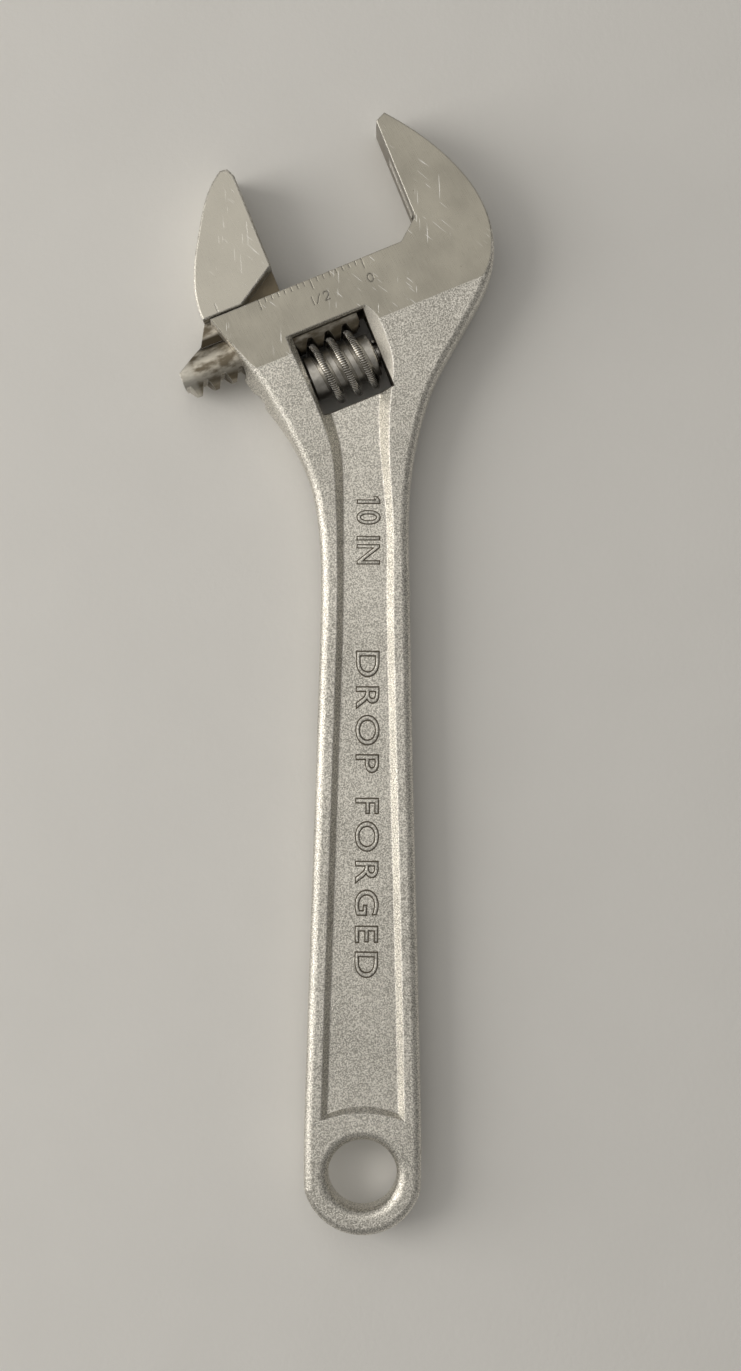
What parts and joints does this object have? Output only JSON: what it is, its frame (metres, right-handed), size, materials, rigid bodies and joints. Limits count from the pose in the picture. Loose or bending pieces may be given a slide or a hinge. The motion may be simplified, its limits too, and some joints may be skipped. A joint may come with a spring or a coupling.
{
  "type": "adjustable wrench",
  "caption": "Adjustable wrench with a fixed jaw on a forged handle and a sliding jaw moved by a knurled worm, for turning nuts and bolts; hang hole in the handle's end.",
  "frame": {"origin": "centre of the hang hole, half way through the handle", "axes": "+Y along the handle towards the jaws, +X to the side of the fixed jaw, +Z square to the flat faces of the head"},
  "size_m": [0.0723, 0.2588, 0.016],
  "materials": {
    "body": "satin, sand-blasted handle and ground head",
    "movable_jaw": "ground faces, oily toothed bar",
    "worm": "dark polished steel with knurled crests",
    "worm_pin": "plain steel",
    "worm_spring": "spring wire"
  },
  "bodies": {
    "frame": {"body": "body", "worm_pin": "worm_pin", "worm_spring": "worm_spring"},
    "jaw": {"movable_jaw": "movable_jaw"},
    "worm": {"worm": "worm"}
  },
  "joints": [
    {"name": "jaw_slide", "type": "slide", "parent": "frame", "child": "jaw", "axis": [0.9239, 0.3827, 0], "range_m": [0, 0.0348]},
    {"name": "worm_spin", "type": "hinge", "parent": "frame", "child": "worm", "pos_m": [-0.00568, 0.18692, 0], "axis": [0.9239, 0.3827, 0], "range_deg": [-2925, 5]}
  ],
  "couplings": [
    {"joint": "worm_spin", "follows": "jaw_slide", "rad_per_m": -1461.2}
  ]
}
